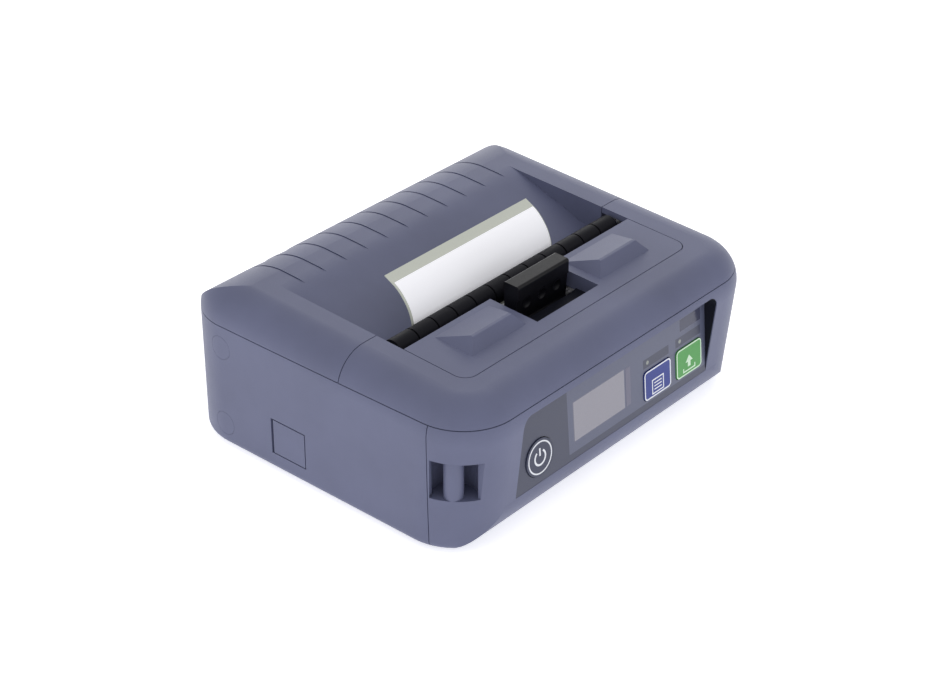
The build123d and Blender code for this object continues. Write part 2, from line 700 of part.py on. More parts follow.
def motor_pinion():
    """Motor pinion meshing with the idler."""
    to_platen = mesh_angle(IDLER_Y, IDLER_Z, PLATEN_Y, PLATEN_Z)
    to_pinion = mesh_angle(IDLER_Y, IDLER_Z, PINION_Y, PINION_Z)
    step = 2 * pi / IDLER_TEETH
    idler_phase = to_platen + pi / IDLER_TEETH
    offset = (to_pinion - idler_phase) % step
    back = to_pinion + pi
    phase = back + pi / PINION_TEETH + offset * IDLER_TEETH / PINION_TEETH
    return gear(PINION_TEETH, PINION_Y, PINION_Z, GEAR_X, MOTOR_SHAFT_R, phase)


def mechanism_frame():
    """Bent metal frame: two cheeks on feet, a cross web and the latch ears."""
    cheek_line = [
        (-34.0, CASE_Z0 + WALL), (-10.6, CASE_Z0 + WALL), (-10.6, 28.0), (-13.2, 34.0), (-13.2, 45.0),
        (-10.8, 47.5), (-10.8, 53.2), (-18.0, 53.2), (-22.0, 50.0), (-34.0, 46.0),
    ]
    part = slab_x(cheek_line, -CHEEK_X - CHEEK_T, -CHEEK_X)
    part = part + slab_x(cheek_line, CHEEK_X, CHEEK_X + CHEEK_T)
    part = part + box(-CHEEK_X, CHEEK_X, WEB_Y0, WEB_Y1, 18, 46)
    idler_tab = box(-CHEEK_X - CHEEK_T, -CHEEK_X, -12, IDLER_Y + 4, IDLER_Z - 5, IDLER_Z + 4)
    part = part + idler_tab
    for side in (-1, 1):
        x0 = side * EAR_X
        x1 = side * (EAR_X + 1.6)
        low = box(x0, x1, WEB_Y0, LEVER_AXIS_Y + 3, LEVER_AXIS_Z - 4, LEVER_AXIS_Z)
        high = box(x0, x1, WEB_Y1 + 0.5, LEVER_AXIS_Y + 3, LEVER_AXIS_Z - 1, LEVER_AXIS_Z + 2.6)
        part = part + low + high
    part = part - rod_x(-EAR_X - 5, EAR_X + 5, LEVER_AXIS_Y, LEVER_AXIS_Z, LEVER_SHAFT_R)
    part = part - rod_x(-FAR, FAR, EXIT_Y, EXIT_Z, EXIT_SHAFT_R + RUN_FIT)
    part = part - rod_x(-FAR, -CHEEK_X + 5, PINION_Y, PINION_Z, MOTOR_SHAFT_R + 1.2)
    return part - rod_x(-FAR, -CHEEK_X + 5, IDLER_Y, IDLER_Z, IDLER_PIN_R)


def feed_motor():
    """Stepper motor on the inside of the left cheek, shaft through it."""
    x0 = -CHEEK_X
    can = rod_x(x0, x0 + MOTOR_L, PINION_Y, PINION_Z, MOTOR_R)
    lug = box(x0 + 4, x0 + MOTOR_L - 4, PINION_Y - 6, PINION_Y + 6, PINION_Z, PINION_Z + MOTOR_R + 1)
    return can + lug


def print_head():
    """Heatsink with cooling fins behind the heater bar."""
    sink = box(-HEAD_X, HEAD_X, HEAD_Y - 6.4, HEAD_Y - 3, HEAD_Z0, HEAD_Z1)
    for k in range(4):
        z = HEAD_Z0 + 0.8 + 3.0 * k
        sink = sink + box(-HEAD_X, HEAD_X, HEAD_Y - 8.4, HEAD_Y - 6.4, z, z + 1.2)
    return sink


def head_bar():
    """Ceramic heater bar with its raised print line."""
    bar = box(-HEAD_X, HEAD_X, HEAD_Y - 3, HEAD_Y - 0.4, HEAD_Z0 + 0.3, HEAD_Z1 - 3)
    return bar + box(-HEAD_X + 2, HEAD_X - 2, HEAD_Y - 0.4, HEAD_Y, PLATEN_Z - 1, PLATEN_Z + 1)


def head_springs():
    """Three springs that press the head on the platen."""
    springs = []
    for x in (-40, 0, 40):
        ring = Rot(90, 0, 0) * (Cylinder(3, HEAD_Y - 8.4 - WEB_Y1) - Cylinder(2, 40))
        springs.append(Pos(x, (HEAD_Y - 8.4 + WEB_Y1) / 2, 34) * ring)
    return springs


def exit_roller_sleeves():
    """Black guide rings on the exit shaft."""
    rings = []
    for k in range(SLEEVE_COUNT):
        x = (k - (SLEEVE_COUNT - 1) / 2) * SLEEVE_PITCH
        rings.append(tube_x(x - SLEEVE_L / 2, x + SLEEVE_L / 2, EXIT_Y, EXIT_Z, EXIT_R, EXIT_SHAFT_R))
    return rings


def latch_lever():
    """Black latch lever: overhanging lip with finger dimples, stem and hub."""
    lip = slab_x(
        [
            (LEVER_FRONT_Y, LEVER_LIP_Z), (LEVER_BACK_Y, LEVER_LIP_Z + 2.4), (LEVER_BACK_Y, LEVER_TOP_Z),
            (LEVER_FRONT_Y, LEVER_TOP_Z - 0.2),
        ],
        -LEVER_W / 2, LEVER_W / 2,
    )
    lip = fillet(lip.edges().filter_by(Axis.X).sort_by(Axis.Z)[-2:], 0.9)
    stem = slab_x(
        [
            (LEVER_FRONT_Y + 0.4, LEVER_LIP_Z + 0.5), (LEVER_FRONT_Y + 1.2, LEVER_AXIS_Z),
            (LEVER_AXIS_Y + 2.6, LEVER_AXIS_Z), (LEVER_BACK_Y - 0.4, LEVER_LIP_Z + 3),
        ],
        -LEVER_W / 2, LEVER_W / 2,
    )
    hub = rod_x(-LEVER_W / 2, LEVER_W / 2, LEVER_AXIS_Y, LEVER_AXIS_Z, 3.0)
    part = lip + stem + hub
    for x in (-7.5, 0, 7.5):
        part = part - Pos(x, LEVER_FRONT_Y - 1.6, LEVER_LIP_Z - 2.6) * Sphere(3.0)
    return part - rod_x(-LEVER_W, LEVER_W, LEVER_AXIS_Y, LEVER_AXIS_Z, LEVER_SHAFT_R + RUN_FIT)


def offset_path(points, t):
    """The path moved sideways by t, to the left of its run."""
    out = []
    n = len(points)
    for k in range(n):
        a = points[max(k - 1, 0)]
        b = points[min(k + 1, n - 1)]
        dy, dz = b[0] - a[0], b[1] - a[1]
        length = sqrt(dy * dy + dz * dz)
        out.append((points[k][0] - dz / length * t, points[k][1] + dy / length * t))
    return out


def path_strip(points, x0, x1, t):
    """Thin sheet that follows a path in the YZ plane."""
    return slab_x(list(points) + offset_path(points, t)[::-1], x0, x1)


def label_web_exit():
    """Liner from the print line up through the slot, then curling back to its torn end."""
    nip_y = HEAD_Y + (HEAD_GAP + PAPER_T) / 2
    x0 = ROLL_X - ROLL_W / 2
    run = [(nip_y, PLATEN_Z - 0.6), (nip_y, PLATEN_Z + 1.1), (WEB_SLOT_Y + 0.3, PLATEN_Z + 5)]
    run += [(WEB_SLOT_Y, CURL_Z - 3.5), (WEB_SLOT_Y, CURL_Z + 0.4)]
    straight = path_strip(run, x0, x0 + ROLL_W, PAPER_T)
    outer = Spline(*[(x0, y, z) for y, z in CURL], tangents=[(0, 0, 1), (0, 1, 0.25)])
    over = Spline(*[(x0, *p) for p in offset_path(CURL, PAPER_T)], tangents=[(0, 0, 1), (0, 1, 0.25)])
    ends = [Line(outer @ 0, over @ 0), Line(outer @ 1, over @ 1)]
    curl = extrude(make_face([outer, over, *ends]), amount=ROLL_W, dir=(1, 0, 0))
    return straight + curl


def label_web_feed():
    """Liner from the roll to the platen."""
    y0 = ROLL_Y - ROLL_R - PAPER_T
    x0 = ROLL_X - ROLL_W / 2
    run = [(y0, ROLL_Z), (y0 - 1.0, ROLL_Z + 3.5), (PLATEN_Y + 2, PLATEN_Z - PLATEN_R - 1.2)]
    return path_strip(run, x0, x0 + ROLL_W, PAPER_T)


def guide(side):
    """Roll guide: disc with a hub in the core, and a foot on the rail."""
    x0 = ROLL_X + side * (ROLL_W / 2 + GUIDE_GAP)
    x1 = x0 + side * GUIDE_T
    disc = rod_x(x0, x1, ROLL_Y, ROLL_Z, GUIDE_R)
    for k in range(5):
        a = 2 * pi * k / 5 + pi / 2
        y = ROLL_Y + GUIDE_HOLES_AT * cos(a)
        z = ROLL_Z + GUIDE_HOLES_AT * sin(a)
        disc = disc - rod_x(x0 - side, x1 + side, y, z, GUIDE_HOLE_R)
    hub = rod_x(ROLL_X + side * (ROLL_W / 2 - 5), x0, ROLL_Y, ROLL_Z, CORE_BORE_R - RUN_FIT)
    foot = box(x0, x1, ROLL_Y - 7, ROLL_Y + 7, RAIL_TOP + 0.05, ROLL_Z)
    shoe = box(x0, x1 + side * GUIDE_SHOE, ROLL_Y - 7, ROLL_Y + 7, RAIL_TOP + 0.05, RAIL_TOP + 2)
    return disc + hub + foot + shoe


def guide_rail():
    """Floor rail that the roll guides slide along."""
    x0 = ROLL_X - RAIL_HALF
    x1 = ROLL_X + RAIL_HALF
    rail = box(x0, x1, ROLL_Y - 8, ROLL_Y + 8, FLOOR_Z, RAIL_TOP)
    return rail - box(x0 + 4, x1 - 4, ROLL_Y - 2, ROLL_Y + 2, CASE_Z0, RAIL_TOP + 1)


def side_door():
    """Port door in the left wall, round along its hinge edge."""
    g = DOOR_GAP
    x = -CASE_W / 2
    leaf = box(x, x + DOOR_T, DOOR_Y0 + g, DOOR_AXIS_Y, DOOR_Z0 + g, DOOR_Z1 - g)
    leaf = leaf + rod_z(DOOR_AXIS_X, DOOR_AXIS_Y, DOOR_Z0 + g, DOOR_Z1 - g, DOOR_T / 2)
    return leaf - rod_z(DOOR_AXIS_X, DOOR_AXIS_Y, 0, 40, DOOR_PIN_R + 0.03)


def port_board():
    """Small upright board that carries the sockets behind the side door."""
    return box(PORT_X, PORT_X + 1.6, DOOR_Y0 + 2.6, DOOR_Y1 + 2, FLOOR_Z, DOOR_Z1 + 2)


def data_connector():
    """Five-pin data socket, mouth towards the door."""
    y = PORT_Y
    shell = box(PORT_X - 6, PORT_X, y - 4, y + 4, 15.2, 18.8)
    return shell - box(PORT_X - 7, PORT_X - 2, y - 3.4, y + 3.4, 15.8, 18.2) + box(
        PORT_X - 5, PORT_X - 1, y - 2.6, y + 2.6, 16.6, 17.4)


def power_jack():
    """Round power jack with its centre pin."""
    y = PORT_Y
    z = 11.0
    block = box(PORT_X - 6, PORT_X, y - 3.2, y + 3.2, z - 3.2, z + 3.2)
    return block - rod_x(PORT_X - 7, PORT_X - 1.5, y, z, 2.2) + rod_x(PORT_X - 5.4, PORT_X - 1, y, z, 0.7)


def screws():
    parts = []
    for x, y in SCREW_SPOTS:
        head = rod_z(x, y, CASE_Z0 + 0.6, CASE_Z0 + 2.0, SCREW_HEAD_R)
        head = head - Pos(x, y, CASE_Z0 + 0.6) * Box(2 * SCREW_HEAD_R + 1, 0.8, 1.2)
        parts.append(head + rod_z(x, y, CASE_Z0 + 2.0, CASE_Z0 + WALL + 3.5, SCREW_R))
    return parts


def feet():
    spots = [(x, y) for x in (-FOOT_X, FOOT_X) for y in FOOT_YS]
    return [rod_z(x, y, 0, CASE_Z0 + FOOT_T, FOOT_R) for x, y in spots]


def save(name, shape):
    """Write one node; lists become one file with separate solids."""
    if isinstance(shape, list):
        shape = Compound(children=shape)
    export_step(shape, os.path.join("parts", name + ".step"))


def main():
    os.makedirs("parts", exist_ok=True)
    save("base_casing", base_casing())
    save("front_casing", front_casing())
    save("top_cover", top_cover())
    save("latch_plate", latch_plate())
    save("paper_lid", paper_lid())
    save("lid_hinge_pins", hinge_pin_bore(0.0))
    save("battery_cover", battery_cover())
    save("battery_pack", battery_pack())
    save("screw_plugs", plug_discs(0))
    save("rubber_feet", feet())
    save("casing_screws", screws())
    save("panel_overlay", panel_overlay())
    save("display_window", display_window())
    save("lcd_module", lcd_module())
    save("ir_window", ir_window())
    save("charge_led", led(CHARGE_U))
    save("status_led", led(STATUS_U))
    save("key_board", key_board())
    save("power_button", power_button())
    save("print_button", square_button(PRINT_BOX))
    save("feed_button", square_button(FEED_BOX))
    save("mechanism_frame", mechanism_frame())
    save("print_head_heatsink", print_head())
    save("print_head_bar", head_bar())
    save("head_springs", head_springs())
    save("feed_motor", feed_motor())
    save("motor_shaft", rod_x(GEAR_X - GEAR_W / 2, -CHEEK_X, PINION_Y, PINION_Z, MOTOR_SHAFT_R))
    save("motor_pinion", motor_pinion())
    save("idler_pin", rod_x(GEAR_X - GEAR_W / 2 - 1, -CHEEK_X, IDLER_Y, IDLER_Z, IDLER_PIN_R))
    save("idler_gear", idler_gear())
    save("platen_shaft", rod_x(GEAR_X - GEAR_W / 2, ARM_X + ARM_T + 1, PLATEN_Y, PLATEN_Z, SHAFT_R))
    save("platen_rubber", tube_x(-PLATEN_L / 2, PLATEN_L / 2, PLATEN_Y, PLATEN_Z, PLATEN_R, SHAFT_R))
    save("platen_gear", platen_gear())
    save("platen_bushes", platen_bushes())
    save("exit_roller_shaft", rod_x(-CHEEK_X - CHEEK_T, CHEEK_X + CHEEK_T, EXIT_Y, EXIT_Z, EXIT_SHAFT_R))
    save("exit_roller_sleeves", exit_roller_sleeves())
    save("latch_lever", latch_lever())
    save("lever_shaft", rod_x(-EAR_X - 1.6, EAR_X + 1.6, LEVER_AXIS_Y, LEVER_AXIS_Z, LEVER_SHAFT_R))
    x0 = ROLL_X - ROLL_W / 2
    save("label_roll", tube_x(x0, x0 + ROLL_W, ROLL_Y, ROLL_Z, ROLL_R, CORE_R))
    save("roll_core", tube_x(x0, x0 + ROLL_W, ROLL_Y, ROLL_Z, CORE_R, CORE_BORE_R))
    save("roll_guide_left", guide(-1))
    save("roll_guide_right", guide(1))
    save("guide_rail", guide_rail())
    save("label_web_exit", label_web_exit())
    save("label_web_feed", label_web_feed())
    save("side_door", side_door())
    save("side_door_pin", rod_z(DOOR_AXIS_X, DOOR_AXIS_Y, DOOR_Z0 - 1.5, DOOR_Z1 + 1.5, DOOR_PIN_R))
    save("port_board", port_board())
    save("data_connector", data_connector())
    save("power_jack", power_jack())
    save("main_board", box(-50, 50, -45, -24.5, BOARD_Z, BOARD_Z + 1.6))


main()
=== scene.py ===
# Looks of the portable label printer: materials, printed panel graphics, the label sheet, light and camera.
# Metres, same frame as the model: +Z up, the key panel faces -Y, origin on the table under the case.

import math

import bmesh
import bpy
from mathutils import Matrix, Vector


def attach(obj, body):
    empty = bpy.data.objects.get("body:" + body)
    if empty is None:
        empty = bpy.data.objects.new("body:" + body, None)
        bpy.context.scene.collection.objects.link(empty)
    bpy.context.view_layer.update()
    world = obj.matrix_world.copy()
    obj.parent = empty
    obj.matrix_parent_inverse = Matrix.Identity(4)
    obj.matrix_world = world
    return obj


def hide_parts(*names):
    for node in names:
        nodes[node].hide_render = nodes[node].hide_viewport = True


MM = 0.001
CREASE = 0.6

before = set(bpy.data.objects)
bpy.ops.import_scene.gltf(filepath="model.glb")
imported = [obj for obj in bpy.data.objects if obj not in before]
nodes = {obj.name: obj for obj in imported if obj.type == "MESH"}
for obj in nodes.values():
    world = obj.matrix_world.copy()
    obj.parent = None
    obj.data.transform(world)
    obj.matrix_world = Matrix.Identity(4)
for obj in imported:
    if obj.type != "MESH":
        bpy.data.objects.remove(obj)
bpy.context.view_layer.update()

# Floor and light round the object
FLOOR_HALF = 3.0
FLOOR_GLOW = 0.66
WORLD_LIGHT = 0.73

# Camera, solved from the case edges in the photograph
CAMERA_AT = Vector((-0.4879, -0.4225, 0.4159))
CAMERA_YAW = math.radians(48.89)
CAMERA_PITCH = math.radians(31.49)
LENS = 86.19
SENSOR = 36.0

# Panel plane, as in the model: u to the right, v up the slope, n outwards
PANEL_LEAN = math.radians(5.0)
PANEL_AT = Vector((0.0, -61.3, 14.0)) * MM
PANEL_HALF = 50.2
PANEL_TOP = 30.1
CORNER_R = 4.0
KEY_TOP = 0.4
POWER_UV = (-38.0, 9.2)

# Boxes on the panel, each as u from, u to, v from, v to
PRINT_BOX = (15.9, 30.3, 3.6, 14.4)
FEED_BOX = (33.5, 47.4, 3.6, 14.4)
# Display: the glass is darker outside its box, and a dark strip lies beside it, painted shade of its recess
GLASS_BOX = (-20.3, 5.9, 6.3, 20.4)
DISPLAY_SHADE_BOX = (6.5, 9.0, 6.4, 20.4)
CAPTION_BOXES = ((15.9, 29.8, 15.7, 19.0), (33.6, 47.4, 15.7, 19.0))
LIGHT_FIELD = (-23.3, 60.0, 2.6, 40.0)

# Printed marks: thickness of the ink, width of the key outlines, and where the marks stand
INK = 0.03
KEY_LINE = 0.5
KEY_LINE_R = 1.5
KEY_LINE_INSET = 0.05
POWER_RING_R = 5.3
POWER_MARK_R = 2.2
POWER_MARK_W = 0.7
PRINT_ICON_AT = (23.1, 7.4)
FEED_ICON_AT = (40.45, 7.6)

# Front face of the case and floor of the finger pocket, as in the model
FRONT_Y = -64.7
FRONT_LEAN = math.radians(6.0)
SEAM_Z = 46.6
POCKET = (-15.5, 15.5, -40.5, -31.5)
POCKET_Z = 49.1
# Dark sheet of painted shade on the pocket floor: gap, thickness, lip height and lip width
POCKET_SHADE_GAP = 0.02
POCKET_SHADE_T = 0.35
POCKET_SHADE_LIP = 0.5
POCKET_SHADE_LIP_W = 1.2

# Dark strip of painted shade on the right end of the panel recess, which the photograph shows dark: gap to
# the wall, thickness, lowest point, distance kept from the front face, and least height
SHADE_STRIP_GAP = 0.03
SHADE_STRIP_T = 0.1
SHADE_STRIP_FOOT = 1.2
SHADE_STRIP_BACK = 0.35
SHADE_STRIP_LEAST = 0.15

# Liner from the print line to its torn end, as in the model: (y, z) on its lid side
WEB_X0 = -40.8
WEB_X1 = 29.2
WEB_T = 0.3
WEB_RUN = ((-8.775, 36.9), (-8.8, 38.6), (-9.45, 42.5), (-9.75, 46.5), (-9.75, 50.0), (-9.3, 54.2),
           (-7.3, 58.8), (-3.4, 63.2), (1.9, 66.2))
LABEL_T = 0.12
LABEL_START_Z = 44.0
LABEL_LEFT = 0.8
LABEL_RIGHT = 0.4
BARE_TIP = 3.7

# Colours, linear
CASE = (0.127, 0.138, 0.226)
BLACK = (0.004, 0.004, 0.006)
WHITE_INK = (0.78, 0.80, 0.86)
BLUE = (0.030, 0.048, 0.250)
GREEN = (0.085, 0.330, 0.085)
FILM_DARK = (0.049, 0.055, 0.096)
FILM_LIGHT = (0.100, 0.111, 0.178)
PAPER = (0.86, 0.86, 0.90)
LINER = (0.56, 0.58, 0.52)
GLASS = (0.275, 0.268, 0.315)
# Edge of the display glass, darker than its middle: painted shade of its recess
GLASS_EDGE_SHADE = (0.165, 0.163, 0.215)
# Painted shade: dark colour laid on the recess end and the pocket floor, where they lie in shade
PAINTED_SHADE = (0.008, 0.009, 0.016)


class Nodes:
    """Small helper round one material's node tree."""

    def __init__(self, name):
        self.mat = bpy.data.materials.new(name)
        self.mat.use_nodes = True
        self.tree = self.mat.node_tree
        self.bsdf = self.tree.nodes["Principled BSDF"]

    def add(self, kind, **values):
        node = self.tree.nodes.new(kind)
        for key, value in values.items():
            setattr(node, key, value)
        return node

    def link(self, a, b):
        self.tree.links.new(a, b)

    def put(self, socket, value):
        self.bsdf.inputs[socket].default_value = value

    def coords(self, scale):
        """Object coordinates through a mapping node, in millimetres times scale."""
        coord = self.add("ShaderNodeTexCoord")
        mapping = self.add("ShaderNodeMapping")
        factor = 1000.0 * scale
        mapping.inputs["Scale"].default_value = (factor, factor, factor)
        self.link(coord.outputs["Object"], mapping.inputs["Vector"])
        return mapping.outputs["Vector"]

    def noise(self, scale, detail=4.0, rough=0.6):
        """Noise whose grains are about 1/scale millimetres wide."""
        tex = self.add("ShaderNodeTexNoise")
        tex.inputs["Scale"].default_value = 1.0
        tex.inputs["Detail"].default_value = detail
        tex.inputs["Roughness"].default_value = rough
        self.link(self.coords(scale), tex.inputs["Vector"])
        return tex.outputs["Fac"]

    def ramp(self, fac, stops):
        """Colour ramp with the given (place, colour) stops."""
        node = self.add("ShaderNodeValToRGB")
        while len(node.color_ramp.elements) < len(stops):
            node.color_ramp.elements.new(0.5)
        for element, (place, colour) in zip(node.color_ramp.elements, stops):
            element.position = place
            element.color = (*colour, 1.0)
        self.link(fac, node.inputs["Fac"])
        return node.outputs["Color"]

    def bump(self, heights, strength, distance):
        """Chain of bumps from several height outputs."""
        normal = None
        for height, power in heights:
            node = self.add("ShaderNodeBump")
            node.inputs["Strength"].default_value = strength * power
            node.inputs["Distance"].default_value = distance
            self.link(height, node.inputs["Height"])
            if normal is not None:
                self.link(normal, node.inputs["Normal"])
            normal = node.outputs["Normal"]
        self.link(normal, self.bsdf.inputs["Normal"])


def shade(colour, factor):
    """Colour made lighter or darker."""
    return tuple(min(1.0, c * factor) for c in colour)


def moulded(name, colour, rough, grain=3.2, depth=0.05, spread=0.07, sheen=0.3):
    """Moulded plastic: fine spark texture, slow tone drift and uneven gloss."""
    n = Nodes(name)
    fine = n.noise(grain, 3.0)
    slow = n.noise(0.03, 3.0)
    tone = n.ramp(slow, [(0.3, shade(colour, 1 - spread)), (0.7, shade(colour, 1 + spread))])
    n.link(tone, n.bsdf.inputs["Base Color"])
    gloss = n.ramp(fine, [(0.35, (rough - 0.05,) * 3), (0.65, (rough + 0.05,) * 3)])
    n.link(gloss, n.bsdf.inputs["Roughness"])
    n.put("Specular IOR Level", sheen)
    n.bump([(fine, 1.0), (n.noise(grain * 0.28, 2.0), 0.35)], 0.35, depth * MM)
    return n.mat


def metal(name, colour, rough, streak):
    """Metal with fine lines along X from drawing or rolling."""
    n = Nodes(name)
    coord = n.add("ShaderNodeTexCoord")
    mapping = n.add("ShaderNodeMapping")
    mapping.inputs["Scale"].default_value = (40.0, 1000.0 * streak, 1000.0 * streak)
    n.link(coord.outputs["Object"], mapping.inputs["Vector"])
    tex = n.add("ShaderNodeTexNoise")
    tex.inputs["Scale"].default_value = 1.0
    tex.inputs["Detail"].default_value = 5.0
    n.link(mapping.outputs["Vector"], tex.inputs["Vector"])
    tone = n.ramp(tex.outputs["Fac"], [(0.3, shade(colour, 0.85)), (0.7, shade(colour, 1.1))])
    n.link(tone, n.bsdf.inputs["Base Color"])
    gloss = n.ramp(tex.outputs["Fac"], [(0.3, (rough - 0.08,) * 3), (0.7, (rough + 0.1,) * 3)])
    n.link(gloss, n.bsdf.inputs["Roughness"])
    n.put("Metallic", 1.0)
    n.bump([(tex.outputs["Fac"], 1.0)], 0.15, 0.02 * MM)
    return n.mat


def paper(name, colour, rough=0.75, glow=0.0):
    """Coated paper: faint fibres and a soft sheen.

    The glow is light of its own, set so that the paper is as white as in the photograph.
    """
    n = Nodes(name)
    fibre = n.noise(1.4, 6.0, 0.7)
    tone = n.ramp(fibre, [(0.3, shade(colour, 0.975)), (0.7, shade(colour, 1.02))])
    n.link(tone, n.bsdf.inputs["Base Color"])
    gloss = n.ramp(fibre, [(0.3, (rough - 0.06,) * 3), (0.7, (rough + 0.06,) * 3)])
    n.link(gloss, n.bsdf.inputs["Roughness"])
    n.put("Specular IOR Level", 0.25)
    n.link(tone, n.bsdf.inputs["Emission Color"])
    n.put("Emission Strength", glow)
    n.bump([(fibre, 1.0)], 0.2, 0.03 * MM)
    return n.mat


def zoned(name, outside, inside, field, rough, spare=()):
    """Film in two colours: one in the field, a panel box, and another outside it and in the spare boxes;
    print on the panel film, painted shade at the edge of the display glass.
    """
    n = Nodes(name)
    coord = n.add("ShaderNodeTexCoord")
    split = n.add("ShaderNodeSeparateXYZ")
    n.link(coord.outputs["Object"], split.inputs["Vector"])

    def maths(kind, a, b):
        node = n.add("ShaderNodeMath", operation=kind)
        for socket, value in zip(node.inputs, (a, b)):
            if isinstance(value, float):
                socket.default_value = value
            else:
                n.link(value, socket)
        return node.outputs[0]

    def within(box_uv):
        u0, u1, v0, v1 = box_uv
        rise = math.cos(PANEL_LEAN)
        foot = PANEL_AT.z / MM
        sides = maths("MULTIPLY", maths("GREATER_THAN", split.outputs["X"], u0 * MM),
                      maths("LESS_THAN", split.outputs["X"], u1 * MM))
        ends = maths("MULTIPLY", maths("GREATER_THAN", split.outputs["Z"], (foot + v0 * rise) * MM),
                     maths("LESS_THAN", split.outputs["Z"], (foot + v1 * rise) * MM))
        return maths("MULTIPLY", sides, ends)

    mask = within(field)
    for box_uv in spare:
        mask = maths("MULTIPLY", mask, maths("SUBTRACT", 1.0, within(box_uv)))
    fine = n.noise(5.0, 2.0)
    low = n.ramp(fine, [(0.3, shade(outside, 0.95)), (0.7, shade(outside, 1.05))])
    high = n.ramp(fine, [(0.3, shade(inside, 0.96)), (0.7, shade(inside, 1.04))])
    mix = n.add("ShaderNodeMix", data_type="RGBA")
    n.link(mask, mix.inputs[0])
    n.link(low, mix.inputs[6])
    n.link(high, mix.inputs[7])
    n.link(mix.outputs[2], n.bsdf.inputs["Base Color"])
    gloss = n.ramp(fine, [(0.3, (rough - 0.04,) * 3), (0.7, (rough + 0.04,) * 3)])
    n.link(gloss, n.bsdf.inputs["Roughness"])
    n.bump([(fine, 1.0)], 0.15, 0.01 * MM)
    return n.mat


def paint(materials):
    """Gives each named node its material."""
    for mat, names in materials:
        for name in names:
            mesh = nodes[name].data
            mesh.materials.clear()
            mesh.materials.append(mat)


CASE_MAT = moulded("case_plastic", CASE, 0.46)
BLACK_MAT = moulded("gloss_black", BLACK, 0.36, grain=1.2, depth=0.01, sheen=0.22)
# Painted shade on the right end of the panel recess and on the pocket floor
SHADE_MAT = moulded("painted_shade", PAINTED_SHADE, 0.5, grain=2.0, depth=0.02, sheen=0.15)
RING_MAT = moulded("roller_black", (0.010, 0.010, 0.014), 0.45, grain=2.5, depth=0.04, sheen=0.07)
RUBBER_MAT = moulded("rubber_black", (0.02, 0.02, 0.022), 0.75, grain=2.0, depth=0.05)
STEEL_MAT = metal("steel", (0.55, 0.55, 0.57), 0.34, 1.5)
ALLOY_MAT = metal("alloy", (0.68, 0.69, 0.71), 0.38, 0.8)
NYLON_MAT = moulded("nylon", (0.72, 0.72, 0.68), 0.45, grain=1.5)
BOARD_MAT = moulded("circuit_board", (0.012, 0.11, 0.045), 0.35, grain=0.9, depth=0.02, spread=0.2)
SOCKET_MAT = moulded("socket_black", (0.015, 0.015, 0.016), 0.4)
CARD_MAT = paper("core_card", (0.35, 0.24, 0.14), 0.85)
PAPER_MAT = paper("label_paper", PAPER, 0.5, 0.27)
LINER_MAT = paper("liner_paper", LINER, 0.55, 0.05)
FILM_MAT = zoned("panel_film", FILM_DARK, FILM_LIGHT, LIGHT_FIELD, 0.38, spare=CAPTION_BOXES)
# Display glass darker outside its box, and the strip beside it: painted shade of the display recess
DISPLAY_MAT = zoned("display_glass", GLASS_EDGE_SHADE, GLASS, GLASS_BOX, 0.16)
DISPLAY_SHADE_MAT = moulded("display_side_shade", (0.165, 0.162, 0.225), 0.4, grain=4.0, depth=0.005, spread=0.03)
LCD_MAT = moulded("display_back", (0.3, 0.3, 0.29), 0.5)
IR_MAT = moulded("ir_lens", (0.060, 0.064, 0.108), 0.15, grain=0.6, depth=0.004, sheen=0.4)
POWER_MAT = moulded("power_key", FILM_DARK, 0.36, grain=4.0, depth=0.01)
BLUE_MAT = moulded("blue_key", BLUE, 0.36, grain=4.0, depth=0.01)
GREEN_MAT = moulded("green_key", GREEN, 0.36, grain=4.0, depth=0.01)
INK_MAT = moulded("white_ink", WHITE_INK, 0.5, grain=4.0, depth=0.005, spread=0.02)
GREEN_INK_MAT = moulded("pale_green_ink", (0.62, 0.80, 0.62), 0.5, grain=4.0, depth=0.005, spread=0.02)
LAMP_MAT = moulded("lamp_lens", (0.30, 0.32, 0.30), 0.25, grain=1.0, depth=0.004)
CERAMIC_MAT = moulded("ceramic", (0.42, 0.40, 0.34), 0.25, grain=1.0, depth=0.01)
WRAP_MAT = moulded("battery_wrap", (0.03, 0.03, 0.035), 0.4, grain=0.8)

paint([
    (CASE_MAT, ["base_casing", "front_casing", "top_cover", "latch_plate", "paper_lid", "side_door",
                "battery_cover", "screw_plugs"]),
    (BLACK_MAT, ["latch_lever"]),
    (RING_MAT, ["exit_roller_sleeves"]),
    (RUBBER_MAT, ["platen_rubber", "rubber_feet"]),
    (STEEL_MAT, ["lid_hinge_pins", "casing_screws", "mechanism_frame", "motor_shaft", "idler_pin",
                 "platen_shaft", "exit_roller_shaft", "lever_shaft", "side_door_pin", "head_springs",
                 "feed_motor"]),
    (ALLOY_MAT, ["print_head_heatsink"]),
    (CERAMIC_MAT, ["print_head_bar"]),
    (NYLON_MAT, ["platen_gear", "idler_gear", "motor_pinion", "platen_bushes", "roll_guide_left",
                 "roll_guide_right", "guide_rail"]),
    (BOARD_MAT, ["key_board", "main_board", "port_board"]),
    (SOCKET_MAT, ["data_connector", "power_jack"]),
    (CARD_MAT, ["roll_core"]),
    (PAPER_MAT, ["label_roll"]),
    (LINER_MAT, ["label_web_feed"]),
    (FILM_MAT, ["panel_overlay"]),
    (DISPLAY_MAT, ["display_window"]),
    (LCD_MAT, ["lcd_module"]),
    (IR_MAT, ["ir_window"]),
    (POWER_MAT, ["power_button"]),
    (BLUE_MAT, ["print_button"]),
    (GREEN_MAT, ["feed_button"]),
    (LAMP_MAT, ["charge_led", "status_led"]),
    (WRAP_MAT, ["battery_pack"]),
])


